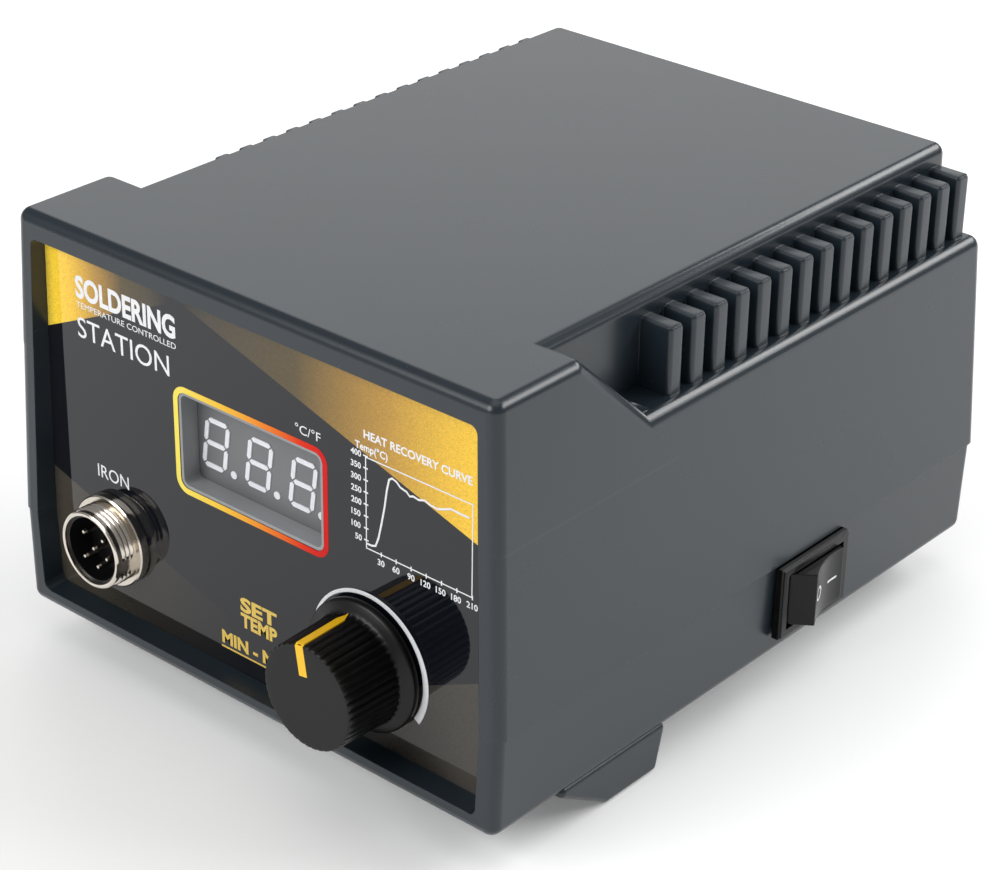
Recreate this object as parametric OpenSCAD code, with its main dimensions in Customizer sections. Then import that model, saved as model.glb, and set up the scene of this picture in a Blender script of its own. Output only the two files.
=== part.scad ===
// Bench soldering station: a two-part moulded case with a recessed front panel,
// a six-pin iron socket, a three-digit display, a temperature knob, a side rocker
// switch, a rear mains inlet, and the transformer and boards that make it work.
// Case coordinates: X = 0 at the case's middle, Y = 0 just behind the front rim, Z = 0 on the bench.

/* [Case] */
// Width of the upper case at the parting line
case_w = 119.4; // [114:0.1:130]
// Depth of the upper case at the parting line
case_d = 144.7; // [140:0.1:160]
// Height of the top above the bench
case_h = 89.8; // [86:0.1:100]
// Height of the feet, from the bench to the floor of the case
foot_h = 8.3; // [6:0.1:12]
// Height of the parting line above the bench
split_z = 28.2; // [28:0.1:32]
// Wall thickness of both mouldings
wall = 2.5; // [2:0.1:3]
// Radius of the rounded outer edges
edge_r = 2.4; // [1.5:0.1:3]

/* [Side recesses and fins] */
// Height of the ledge in each side recess
ledge_z = 73; // [70:0.5:76]
// Half-width of the top between the two recesses
top_half_w = 48.6; // [46:0.1:50]
// Number of cooling fins on each side
fin_count = 15; // [8:1:15]
// Distance from one fin to the next
fin_pitch = 6.3; // [5:0.1:6.3]
// Thickness of a fin
fin_t = 3.8; // [2.5:0.1:4]

/* [Front panel] */
// Depth of the panel's face behind the front rim at the parting line
panel_y = 3.6; // [2.5:0.1:5]
// Thickness of the panel plate
panel_t = 2; // [1.5:0.1:3]
// Thickness of the printed film on the plate
film_t = 0.3; // [0.2:0.05:0.5]

/* [Display] */
// Width of the display window
window_w = 35.5; // [32:0.5:40]
// Height of the display window
window_h = 19.3; // [16:0.1:22]
// Height of one digit
digit_h = 10.2; // [9:0.1:12]

/* [Iron socket] */
// Radius over the thread of the socket's barrel
thread_r = 7.9; // [7.8:0.05:8]
// Length of the barrel in front of the panel
barrel_reach = 6.6; // [5:0.1:9]

/* [Temperature knob] */
// Radius of the knob's front face
knob_r = 10.1; // [9:0.1:11]
// Radius of the knob's skirt
skirt_r = 12.6; // [11.8:0.1:13]
// Distance from the panel to the knob's front face
knob_reach = 15.2; // [13:0.1:17]
// Angle of the pointer from the right, turning up and to the left
pointer_angle = 99; // [60:1:120]

/* [Power switch] */
// Length of the switch's bezel
bezel_l = 21; // [20.5:0.1:21.5]
// Height of the switch's bezel
bezel_h = 15; // [14.5:0.1:15]
// Angle that the rocker turns through from on to off
rocker_throw = 22; // [18:1:24]

/* [Hidden] */
$fn = 64;
eps = 0.01;

// The part's origin: the middle of its whole box, on the bench
origin_x = 2.5;
origin_y = 66.9;

// Draft of the walls: the half-width, the front and the rear at a height z
split_half_w = case_w / 2;
rim_y = -0.7;
side_draft = 2.5 / 60.9;
front_draft = 1.3 / 60.9;
rear_draft = 2.7 / 60.9;
function half_w(z) = split_half_w - side_draft * (z - split_z);
function front_y(z) = rim_y + front_draft * (z - split_z);
function rear_y(z) = rim_y + case_d - rear_draft * (z - split_z);

// The lower case stands in a little from the upper one, all round
overhang = 0.4;
floor_half_w = split_half_w - 0.8;
floor_z = foot_h + wall;
floor_rear_y = rim_y + case_d - 0.7;
floor_front_y = rim_y - 0.1;

// The slanted front end of each side recess
slant_top_y = 22;
slant_run = 17.9;
slant_rise = case_h - ledge_z;

// Fins
fin_first_y = 49.05;
fin_top_z = 85.9;
fin_half_w = 55.2;
fin_edge = 0.9;
slot_step = fin_t / 2 + 0.15;

// Front opening, inside the rim
lip_top_z = case_h - 5.2;
lip_bottom_z = foot_h + 4;
lip_half_w_top = 53;
lip_half_w_split = 55;
lip_half_w_bottom = 54.4;
lip_widest_z = split_z - 0.7;
lip_draft = 0.4;

// Panel plate: its outline is a little smaller than the room behind the rim
panel_back_y = panel_y + film_t + panel_t;
panel_fit = 0.25;
panel_top_z = case_h - wall - panel_fit;
panel_bottom_z = floor_z + panel_fit;

// Case screws stand in bosses at the four corners
screw_x = 51;
screw_ys = [13.5, 132];
boss_r = 4.2;
boss_top_z = 46;
screw_r = 1.5;
screw_head_r = 2.9;
screw_head_h = 2;

// Feet
foot_w = 12;
foot_front_y = [17.4, 29.3];
foot_rear_y = [46.3, 44.5];
foot_round = 1.2;
rear_foot_r = 7;
rear_foot_x = 42;
rear_foot_y = 126;

// Display: the window's middle, and the face of the display behind the panel
window_x = -1.75;
window_z = 55.35;
window_r = 1.9;
display_face_y = panel_y + 4;
bezel_t = 0.7;
digit_pitch = 10.8;
digit_w = 5.2;
digit_slant = 8;
segment_w = 0.95;
segment_gap = 0.25;
segment_t = 0.2;
digit_mid_x = -3.4;
digit_mid_z = 54.4;
display_depth = 6.5;

// Iron socket
socket_x = -38.27;
socket_z = 27.65;
socket_flange_r = 9.1;
socket_flange_t = 2;
socket_bore_r = 6.8;
socket_back_y = 15;
socket_fit = 0.1;
insert_face_y = 2.6;
insert_wall = 0.5;
insert_rim_y = -2.2;
socket_pin_r = 0.55;
socket_pin_circle = 3.65;
socket_pin_angles = [135, 45, -15, -75, -135];

// Potentiometer and knob, on one axis
knob_x = 26.3;
knob_z = 28.4;
knob_base_r = knob_r + 0.3;
shaft_r = 3;
shaft_fit = 0.05;
bush_r = 3.5;
pot_r = 8.3;

// Rocker switch, in the right side of the lower case
switch_y = 87.5;
switch_z = 20.4;
switch_seat_x = 59.33;
bezel_proud = 2;
switch_body_l = 18.8;
switch_body_h = 12.8;
switch_body_back_x = 44.7;
well_l = 17.2;
well_h = 11.4;
pivot_x = 56.7;
rocker_h = 11;
rocker_r = 8.4;
ridge_r = 9.2;
ridge_angle = 40;
rocker_pin_r = 1.5;

// Mains inlet, in the rear wall of the upper case
inlet_x = 28;
inlet_z = 50;
inlet_seat_y = 141.8;
inlet_flange_w = 48;
inlet_flange_h = 22;
inlet_flange_t = 2;
inlet_pitch = 40;
inlet_body_w = 27;
inlet_body_h = 19.5;
inlet_depth = 17;
inlet_well_w = 24.4;
inlet_well_h = 16.6;

// Transformer
core_w = 66;
core_h = 55;
core_t = 30;
transformer_x = -10;
transformer_y = 92;
transformer_z = 16;
strap_t = 1.2;
strap_w = 14;
strap_pitch = 80;

// Control board
board_x = 42;
board_y = [17, 60];
board_z = 17;
board_t = 1.6;
board_top = board_z + board_t;
board_screw_x = 37;
board_screw_ys = [21, 56];

// Everything is drawn in case coordinates and then set down on the part's origin.
module seat() translate([-origin_x, -origin_y, 0]) children();

// A thing drawn with its axis along Z, turned so that the axis points out of the front.
module facing_front(x, y, z) translate([x, y, z]) rotate([90, 0, 0]) children();

module both_sides() { children(); mirror([1, 0, 0]) children(); }

module ball(x, y, z, r) translate([x, y, z]) sphere(r, $fn = 24);

module rounded_rect(w, h, r) {
    x = w / 2 - r;
    y = h / 2 - r;
    union() {
        square([2 * x, h], center = true);
        square([w, 2 * y], center = true);
        for (i = [-1, 1], j = [-1, 1]) translate([i * x, j * y]) circle(r);
    }
}

// ---- Case ----

// The block of the upper case below the ledge, open to the parting line.
module case_block(s) {
    r = max(edge_r - s / 2, 0.6);
    top = ledge_z - s;
    past = s > 0 ? 1 : 0;
    w0 = half_w(split_z) - s - r;
    w1 = half_w(ledge_z) - s - r;
    hull() {
        for (i = [-1, 1]) {
            for (y = [front_y(split_z) + s + r, rear_y(split_z) - s - r])
                translate([i * w0, y, split_z - past]) cylinder(r = r, h = eps, $fn = 24);
            for (y = [front_y(ledge_z) + s + r, rear_y(ledge_z) - s - r])
                ball(i * w1, y, top - r, r);
        }
    }
}

// The narrow top between the recesses, full depth.
module top_block(s) {
    r = max(edge_r - s / 2, 0.6);
    top = case_h - s;
    low = ledge_z - 10;
    x = top_half_w - s - r;
    hull() {
        for (i = [-1, 1]) {
            ball(i * x, front_y(case_h) + s + r, top - r, r);
            ball(i * x, rear_y(case_h) - s - r, top - r, r);
            ball(i * x, front_y(low) + s + r, low, r);
            ball(i * x, rear_y(low) - s - r, low, r);
        }
    }
}

// The full-width front of the top, with its slanted rear face.
module brow_block(s) {
    r = max(edge_r - s / 2, 0.6);
    top = case_h - s;
    low = ledge_z - 10;
    slope = slant_run / slant_rise;
    tilt = s * 0.4;
    hull() {
        for (i = [-1, 1]) {
            ball(i * (half_w(case_h) - s - r), front_y(case_h) + s + r, top - r, r);
            ball(i * (half_w(case_h) - s - r), slant_top_y - r * 0.45 - tilt, top - r, r);
            ball(i * (half_w(low) - s - r), front_y(low) + s + r, low, r);
            ball(i * (half_w(low) - s - r),
                slant_top_y + slope * (case_h - low) - r * 1.45 - tilt - s, low, r);
        }
    }
}

// Fillet where the slanted face runs into the ledge.
module slant_fillet() {
    fillet_r = 5;
    slope = slant_run / slant_rise;
    corner_y = slant_top_y + slant_run;
    translate([top_half_w - 1, 0, 0]) rotate([90, 0, 90])
        linear_extrude(half_w(ledge_z) - top_half_w - 1.4)
            difference() {
                polygon([[corner_y - 4, ledge_z - 1], [corner_y - 2.9, ledge_z + 2.7],
                    [corner_y + 2, ledge_z], [corner_y + 2, ledge_z - 1]]);
                translate([corner_y + fillet_r * tan(21.5), ledge_z + fillet_r])
                    circle(fillet_r, $fn = 64);
            }
}

module fin() {
    plan_w = fin_half_w - top_half_w + 1.5;
    translate([fin_half_w - plan_w / 2, 0, 0]) hull() {
        translate([0, 0, ledge_z - 1]) linear_extrude(fin_top_z - fin_edge - ledge_z + 1)
            offset(r = fin_edge, $fn = 16) square([plan_w - 2 * fin_edge, fin_t - 2 * fin_edge],
                center = true);
        translate([0, 0, ledge_z]) linear_extrude(fin_top_z - fin_edge * 0.3 - ledge_z)
            offset(r = fin_edge * 0.7, $fn = 16)
                square([plan_w - 2 * fin_edge, fin_t - 2 * fin_edge], center = true);
        translate([0, 0, ledge_z]) linear_extrude(fin_top_z - ledge_z)
            square([plan_w - 2 * fin_edge, fin_t - 2 * fin_edge], center = true);
    }
}

// Outline of the front opening, grown by g
module lip_outline(g) {
    r = 1.6;
    hull() {
        for (i = [-1, 1]) {
            translate([i * (lip_half_w_top - r + g), lip_top_z - r + g]) circle(r, $fn = 32);
            translate([i * (lip_half_w_split - r + g), lip_widest_z]) circle(r, $fn = 32);
            translate([i * (lip_half_w_bottom - r + g), lip_bottom_z + r - g]) circle(r, $fn = 32);
        }
    }
}

module front_opening() {
    hull() {
        facing_front(0, panel_y + 0.02, 0) linear_extrude(eps) lip_outline(0);
        facing_front(0, -1, 0) linear_extrude(eps) lip_outline(lip_draft);
    }
}

module upper_case() color([0.33, 0.345, 0.36]) seat() difference() {
    union() {
        difference() {
            union() {
                case_block(0);
                top_block(0);
                brow_block(0);
                both_sides() slant_fillet();
                both_sides() for (i = [0 : fin_count - 1])
                    translate([0, fin_first_y + i * fin_pitch, 0]) fin();
            }
            // The room inside starts at the panel's face
            intersection() {
                union() { case_block(wall); top_block(wall); brow_block(wall); }
                translate([-case_w, panel_y, 0]) cube([2 * case_w, 2 * case_d, case_h]);
            }
            front_opening();
            // Slots between the fins
            both_sides() for (i = [0 : fin_count - 2])
                translate([top_half_w - wall - 1, fin_first_y + i * fin_pitch + slot_step, ledge_z + 1])
                    cube([wall + 1.5, fin_pitch - 2 * slot_step, fin_top_z - ledge_z - 2.2]);
        }
        // Screw bosses, hung from the ledge and tied to the side walls
        both_sides() for (y = screw_ys) translate([screw_x, y, boss_top_z - 16]) {
            cylinder(r = boss_r, h = ledge_z - wall + 0.5 - (boss_top_z - 16));
            translate([0, -1, 0]) cube([half_w(ledge_z) - wall - screw_x + 0.4, 2, ledge_z - boss_top_z + 13]);
        }
        // Ribs behind the panel
        both_sides() translate([half_w(ledge_z) - wall - 3.5, panel_back_y + 0.1, split_z + 5])
            cube([4, 1.5, ledge_z - split_z - 10]);
        translate([-30, panel_back_y + 0.1, case_h - wall - 3]) cube([60, 1.5, 3.2]);
        // Thick seat inside the rear wall for the mains inlet
        translate([inlet_x - inlet_flange_w / 2, inlet_seat_y - 3, inlet_z - inlet_flange_h / 2])
            cube([inlet_flange_w, 3, inlet_flange_h]);
    }
    // Pilot holes of the bosses
    both_sides() for (y = screw_ys) translate([screw_x, y, split_z])
        cylinder(r = screw_r + 0.06, h = boss_top_z - split_z, $fn = 32);
    // Flat pocket, cut-out and screw holes of the mains inlet
    facing_front(inlet_x, inlet_seat_y, inlet_z) {
        mirror([0, 0, 1]) linear_extrude(6)
            rounded_rect(inlet_flange_w + 0.4, inlet_flange_h + 0.4, 2);
        translate([-inlet_body_w / 2 - 0.15, -inlet_body_h / 2 - 0.15, -1])
            cube([inlet_body_w + 0.3, inlet_body_h + 0.3, 8]);
        for (i = [-1, 1]) translate([i * inlet_pitch / 2, 0, -1]) cylinder(r = 1.7, h = 8, $fn = 32);
    }
}

// A front foot: moulded with the case, hollow from inside
module front_foot(s) {
    r = foot_round;
    x1 = floor_half_w - s - r;
    x0 = floor_half_w - foot_w + s + r;
    hull() {
        for (x = [x0, x1]) {
            for (y = [foot_front_y[1] + s + r, foot_rear_y[1] - s - r]) ball(x, y, s + r, r);
            for (y = [foot_front_y[0] + s + r, foot_rear_y[0] - s - r]) ball(x, y, foot_h, r);
        }
    }
    if (s > 0) translate([x0 - r, foot_front_y[0] + s, foot_h])
        cube([x1 - x0 + 2 * r, foot_rear_y[0] - foot_front_y[0] - 2 * s, wall + 1]);
}

module tray_block(s) {
    r = max(edge_r - s / 2, 0.6);
    past = s > 0 ? 1 : 0;
    x0 = floor_half_w - s - r;
    x1 = split_half_w - overhang - s - r;
    hull() {
        for (i = [-1, 1]) {
            for (y = [floor_front_y + s + r, floor_rear_y - s - r])
                ball(i * x0, y, foot_h + s + r, r);
            for (y = [rim_y + s + r, rim_y + case_d - overhang - s - r])
                translate([i * x1, y, split_z - eps + past]) cylinder(r = r, h = eps, $fn = 24);
        }
    }
}

module lower_case() color([0.29, 0.305, 0.325]) seat() difference() {
    union() {
        difference() {
            union() {
                tray_block(0);
                both_sides() front_foot(0);
            }
            intersection() {
                tray_block(wall);
                translate([-case_w, panel_y, 0]) cube([2 * case_w, 2 * case_d, case_h]);
            }
            both_sides() front_foot(wall);
            front_opening();
        }
        // Screw bosses
        both_sides() for (y = screw_ys) translate([screw_x, y, foot_h + 1])
            cylinder(r = boss_r, h = split_z + 1.6 - foot_h - 1);
        // Posts under the transformer strap and the control board
        for (i = [-1, 1]) translate([transformer_x + i * strap_pitch / 2, transformer_y, foot_h + 1])
            cylinder(r = 4, h = transformer_z - strap_t - foot_h - 1);
        for (i = [-1, 1], y = board_screw_ys) translate([i * board_screw_x, y, foot_h + 1])
            cylinder(r = 3, h = board_z - foot_h - 1);
        // Ribs behind the panel
        both_sides() translate([20, panel_back_y + 0.1, foot_h + 1]) cube([22, 1.5, 7]);
    }
    // Case screws, counterbored from below
    both_sides() for (y = screw_ys) translate([screw_x, y, 0]) {
        cylinder(r = screw_r + 0.2, h = split_z + 5, $fn = 32);
        cylinder(r = screw_head_r + 0.3, h = foot_h + 4, $fn = 32);
    }
    for (i = [-1, 1]) translate([transformer_x + i * strap_pitch / 2, transformer_y, foot_h + 2])
        cylinder(r = screw_r + 0.06, h = 8, $fn = 32);
    for (i = [-1, 1], y = board_screw_ys) translate([i * board_screw_x, y, foot_h + 2])
        cylinder(r = 1.3, h = 10, $fn = 32);
    // Holes of the rear feet's screws
    both_sides() translate([rear_foot_x, rear_foot_y, foot_h - 1]) cylinder(r = 1.56, h = 5, $fn = 32);
    // Cut-out of the power switch
    translate([switch_body_back_x, switch_y - switch_body_l / 2 - 0.1, switch_z - switch_body_h / 2 - 0.1])
        cube([20, switch_body_l + 0.2, switch_body_h + 0.2]);
}

module screw(head_r, head_h, r, length) {
    difference() {
        cylinder(r = head_r, h = head_h);
        for (a = [0, 90]) rotate([0, 0, a]) translate([-head_r * 0.6, -0.3, -eps])
            cube([head_r * 1.2, 0.6, head_h * 0.5]);
    }
    translate([0, 0, head_h]) cylinder(r = r, h = length);
}

module case_screws() color("silver") seat() both_sides() for (y = screw_ys)
    translate([screw_x, y, foot_h + 4 - screw_head_h]) screw(screw_head_r, screw_head_h, screw_r, 28);

module rear_feet() color([0.06, 0.06, 0.065]) seat() both_sides()
    translate([rear_foot_x, rear_foot_y, 0]) difference() {
        union() {
            cylinder(r = rear_foot_r - 0.8, h = 1);
            translate([0, 0, 1]) cylinder(r = rear_foot_r, h = foot_h - 1);
        }
        translate([0, 0, -1]) cylinder(r = 3.2, h = 5.5);
        cylinder(r = 1.56, h = foot_h + 1);
    }

module foot_screws() color("silver") seat() both_sides()
    translate([rear_foot_x, rear_foot_y, 4.5 - 2]) screw(2.9, 2, 1.5, 9);

// ---- Front panel ----

module panel_outline() {
    r = 1.5;
    hull() {
        for (i = [-1, 1]) {
            translate([i * (half_w(case_h) - wall - panel_fit - r - 0.2), panel_top_z - r])
                circle(r, $fn = 32);
            translate([i * (split_half_w - overhang - wall - panel_fit - r), split_z])
                circle(r, $fn = 32);
            translate([i * (floor_half_w - wall - panel_fit - r - 0.2), panel_bottom_z + r])
                circle(r, $fn = 32);
        }
    }
}

// A sheet of thickness t, its front face at y, with the panel's openings
module panel_sheet(y, t, window_grow) {
    translate([0, y + t, 0]) rotate([90, 0, 0]) difference() {
        linear_extrude(t) panel_outline();
        translate([window_x, window_z, -1]) linear_extrude(t + 2)
            rounded_rect(window_w + window_grow, window_h + window_grow, window_r + window_grow / 2);
        translate([socket_x, socket_z, -1]) cylinder(r = thread_r + socket_fit, h = t + 2);
        translate([knob_x, knob_z, -1]) cylinder(r = bush_r + 0.1, h = t + 2);
    }
}

module front_panel() color([0.05, 0.05, 0.055]) seat() panel_sheet(panel_y + film_t, panel_t, 0.1);

module panel_film() color([0.12, 0.12, 0.12]) seat() panel_sheet(panel_y, film_t, 0.1);

// ---- Display ----

module display_bezel() color([0.35, 0.36, 0.37]) seat()
    facing_front(window_x, display_face_y, window_z) difference() {
        union() {
            linear_extrude(display_face_y - panel_y - 0.1) rounded_rect(window_w, window_h, window_r);
            linear_extrude(display_face_y - panel_back_y - 0.05)
                rounded_rect(window_w + 4, window_h + 4, window_r);
        }
        translate([0, 0, -1]) linear_extrude(10)
            rounded_rect(window_w - 2 * bezel_t, window_h - 2 * bezel_t, window_r - bezel_t);
    }

module display_block() color([0.16, 0.16, 0.17]) seat()
    translate([window_x - window_w / 2 - 1, display_face_y, window_z - window_h / 2 - 1])
        cube([window_w + 2, display_depth, window_h + 2]);

// One segment, lying along X, with pointed ends
module segment(length) {
    h = segment_w / 2;
    l = length / 2 - segment_gap;
    polygon([[-l, 0], [-l + h, h], [l - h, h], [l, 0], [l - h, -h], [-l + h, -h]]);
}

module digit() {
    w = digit_w;
    h = digit_h - segment_w;
    lean = tan(digit_slant);
    for (j = [-1, 0, 1]) translate([j * h / 2 * lean, j * h / 2]) segment(w);
    for (i = [-1, 1], j = [-1, 1])
        translate([i * w / 2 + j * h / 4 * lean, j * h / 4]) rotate(90 - digit_slant) segment(h / 2 + 0.05);
    translate([w / 2 + 1.7, -digit_h / 2 + 0.6]) circle(0.75);
}

module display_digits() color([0.95, 0.95, 0.95]) seat()
    facing_front(digit_mid_x, display_face_y, digit_mid_z) linear_extrude(segment_t)
        for (i = [-1, 0, 1]) translate([i * digit_pitch, 0]) digit();

module display_board() color([0.05, 0.3, 0.12]) seat()
    translate([window_x - 26, display_face_y + display_depth + 1, window_z - 16]) cube([52, board_t, 30]);

module display_pins() color("silver") seat()
    for (i = [0 : 5], j = [-1, 1]) translate([window_x - 12.7 + i * 5.08, display_face_y + display_depth,
        window_z + j * 7.62]) rotate([-90, 0, 0]) cylinder(r = 0.3, h = 1);

// ---- Iron socket ----

module iron_socket_shell() color([0.75, 0.72, 0.66]) seat()
    facing_front(socket_x, panel_y, socket_z) difference() {
        union() {
            translate([0, 0, panel_y - socket_back_y])
                cylinder(r = thread_r, h = socket_back_y - panel_y + barrel_reach);
            cylinder(r = socket_flange_r, h = socket_flange_t);
        }
        translate([0, 0, panel_y - socket_back_y - 1])
            cylinder(r = socket_bore_r, h = socket_back_y + barrel_reach + 2);
        // Keyway flat along the thread
        rotate([0, 0, -12]) translate([thread_r - 0.5, -5, socket_flange_t + eps]) cube([3, 10, 20]);
    }

module socket_pin_places() {
    children();
    for (a = socket_pin_angles) rotate([0, 0, a]) translate([socket_pin_circle, 0, 0]) children();
}

module iron_socket_insert() color([0.05, 0.05, 0.05]) seat()
    facing_front(socket_x, insert_face_y, socket_z) difference() {
        translate([0, 0, -12]) cylinder(r = socket_bore_r - 0.02, h = 12 + insert_face_y - insert_rim_y);
        cylinder(r = socket_bore_r - insert_wall, h = 12);
        socket_pin_places() translate([0, 0, -13]) cylinder(r = socket_pin_r + 0.02, h = 14);
    }

module iron_socket_pins() color([0.8, 0.78, 0.72]) seat()
    facing_front(socket_x, panel_y, socket_z) socket_pin_places() {
        translate([0, 0, -12.9]) cylinder(r = socket_pin_r, h = 12.9 + barrel_reach - 1.8);
        translate([0, 0, barrel_reach - 1.8]) cylinder(r1 = socket_pin_r, r2 = 0.3, h = 0.8);
        translate([0, 0, -17]) cylinder(r = 1.1, h = 4.1);
    }

module iron_socket_washer() color([0.7, 0.7, 0.7]) seat()
    facing_front(socket_x, panel_back_y + 0.5, socket_z) difference() {
        cylinder(r = 10.5, h = 0.5);
        translate([0, 0, -1]) cylinder(r = thread_r + 0.05, h = 3);
    }

module iron_socket_nut() color([0.75, 0.72, 0.66]) seat()
    facing_front(socket_x, panel_back_y + 3, socket_z) difference() {
        cylinder(r = 10.6, h = 2.5, $fn = 6);
        translate([0, 0, -1]) cylinder(r = thread_r + 0.02, h = 5);
    }

// ---- Knob and potentiometer ----

module pointer_slot(grow) {
    length = knob_reach + 1;
    half = 0.95;
    tip_z = 3.1;
    rotate([0, 0, pointer_angle]) union() {
        translate([4 - grow, -half - grow, knob_reach - 1.5]) cube([9, 2 * (half + grow), 4]);
        translate([9.2 - grow, 0, 0]) rotate([90, 0, 90]) linear_extrude(4) polygon([
            [-half - grow, tip_z + 2], [0, tip_z - grow], [half + grow, tip_z + 2],
            [half + grow, length], [-half - grow, length]]);
    }
}

// Outline of the knob, radius against distance from the panel
module knob_shape(grow) rotate_extrude()
    polygon([[0, 0.8], [skirt_r + grow, 0.8], [skirt_r + grow, 2], [skirt_r - 0.4 + grow, 2.35],
        [knob_base_r + 0.4 + grow, 3], [knob_base_r + grow, 3.5], [knob_r + grow, knob_reach - 0.4],
        [knob_r - 0.4 + grow, knob_reach + grow], [0, knob_reach + grow]]);

module knob_body() color([0.03, 0.03, 0.035]) seat()
    facing_front(knob_x, panel_y, knob_z) difference() {
        knob_shape(0);
        pointer_slot(0);
        // Room for the potentiometer's nut, and the bore on its shaft
        translate([0, 0, -1]) cylinder(r = 7.4, h = 6.2);
        translate([0, 0, 5]) cylinder(r = shaft_r + 0.01, h = 8);
        // Hole of the grub screw
        rotate([0, 0, pointer_angle + 180]) translate([0, 0, 9]) rotate([0, 90, 0])
            cylinder(r = 1.51, h = 20);
    }

module knob_pointer() color([0.95, 0.75, 0.05]) seat()
    facing_front(knob_x, panel_y, knob_z) intersection() {
        knob_shape(0.08);
        pointer_slot(-0.01);
    }

module knob_screw() color("dimgray") seat()
    facing_front(knob_x, panel_y, knob_z) rotate([0, 0, pointer_angle + 180])
        translate([0, 0, 9]) rotate([0, 90, 0]) difference() {
            translate([0, 0, shaft_r + 0.02]) cylinder(r = 1.5, h = 5);
            translate([-0.3, -2, shaft_r + 4]) cube([0.6, 4, 2]);
        }

module pot_shaft() color("silver") seat()
    facing_front(knob_x, panel_y, knob_z) translate([0, 0, -10.7]) cylinder(r = shaft_r, h = 21.7);

module pot_body() color([0.55, 0.55, 0.55]) seat()
    facing_front(knob_x, panel_back_y, knob_z) difference() {
        union() {
            translate([0, 0, -9]) cylinder(r = pot_r, h = 9);
            translate([0, 0, -1]) cylinder(r = bush_r, h = 1 + panel_back_y - panel_y + 4.2);
        }
        translate([0, 0, -8]) cylinder(r = shaft_r + shaft_fit, h = 20);
        translate([0, 0, -8.6]) cylinder(r = shaft_r + 0.3, h = 1);
    }

module pot_washer() color("silver") seat()
    facing_front(knob_x, panel_y, knob_z) difference() {
        cylinder(r = 6, h = 0.5);
        translate([0, 0, -1]) cylinder(r = bush_r + 0.05, h = 3);
    }

module pot_nut() color("silver") seat()
    facing_front(knob_x, panel_y, knob_z) difference() {
        translate([0, 0, 0.5]) cylinder(r = 5.8, h = 2, $fn = 6);
        cylinder(r = bush_r + 0.02, h = 4);
    }

module pot_lugs() color("silver") seat() difference() {
    for (i = [-1, 0, 1]) translate([knob_x + i * 5 - 1, panel_back_y + 4, knob_z - pot_r - 3])
        cube([2, 0.5, 6]);
    facing_front(knob_x, panel_back_y + 8, knob_z) cylinder(r = pot_r + 0.02, h = 8);
}

// ---- Power switch ----

module switch_block(l, h, x0, x1) translate([x0, switch_y - l / 2, switch_z - h / 2])
    cube([x1 - x0, l, h]);

module switch_housing() color([0.04, 0.04, 0.042]) seat() difference() {
    union() {
        switch_block(bezel_l, bezel_h, switch_seat_x, switch_seat_x + bezel_proud - 0.4);
        switch_block(bezel_l - 0.6, bezel_h - 0.6, switch_seat_x + 1, switch_seat_x + bezel_proud);
        switch_block(switch_body_l, switch_body_h, switch_body_back_x, switch_seat_x + 0.5);
    }
    switch_block(well_l, well_h, pivot_x - 6.5, switch_seat_x + 5);
    // Bearing holes of the rocker's pivot pins
    translate([pivot_x, switch_y, switch_z - 10]) cylinder(r = rocker_pin_r + 0.05, h = 20);
    // Slots of the terminals
    for (i = [-1, 1]) translate([switch_body_back_x - 1, switch_y + i * 4 - 0.42, switch_z - 2.42])
        cube([4, 0.84, 4.84]);
}

// The rocker's profile with the switch between its two positions: X is out of the case
module rocker_profile() {
    ridge_x = ridge_r * cos(ridge_angle);
    ridge_y = ridge_r * sin(ridge_angle);
    end_x = rocker_r * cos(70);
    end_y = rocker_r * sin(70);
    dish_r = 17.8;
    difference() {
        union() {
            polygon([[0, -end_y], [end_x, -end_y], [ridge_x, -ridge_y], [ridge_x, ridge_y],
                [end_x, end_y], [0, end_y]]);
            intersection() {
                circle(rocker_r);
                translate([-3.5, -10]) square([3.5 + end_x, 20]);
            }
        }
        translate([ridge_x + sqrt(dish_r * dish_r - ridge_y * ridge_y), 0]) circle(dish_r, $fn = 128);
    }
}

module switch_rocker() color([0.04, 0.04, 0.042]) seat()
    translate([pivot_x, switch_y, switch_z]) rotate([0, 0, rocker_throw / 2]) {
        translate([0, 0, -rocker_h / 2]) linear_extrude(rocker_h) rocker_profile();
        translate([0, 0, -switch_body_h / 2]) cylinder(r = rocker_pin_r, h = switch_body_h);
    }

module switch_terminals() color([0.8, 0.75, 0.6]) seat() for (i = [-1, 1])
    translate([switch_body_back_x - 8, switch_y + i * 4 - 0.4, switch_z - 2.4]) difference() {
        cube([11, 0.8, 4.8]);
        translate([2.5, -1, 2.4]) rotate([-90, 0, 0]) cylinder(r = 0.8, h = 3);
    }

// ---- Mains inlet ----

// A thing drawn with its axis along Z, turned so that the axis points out of the rear.
module facing_rear(x, y, z) translate([x, y, z]) rotate([90, 0, 180]) children();

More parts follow.
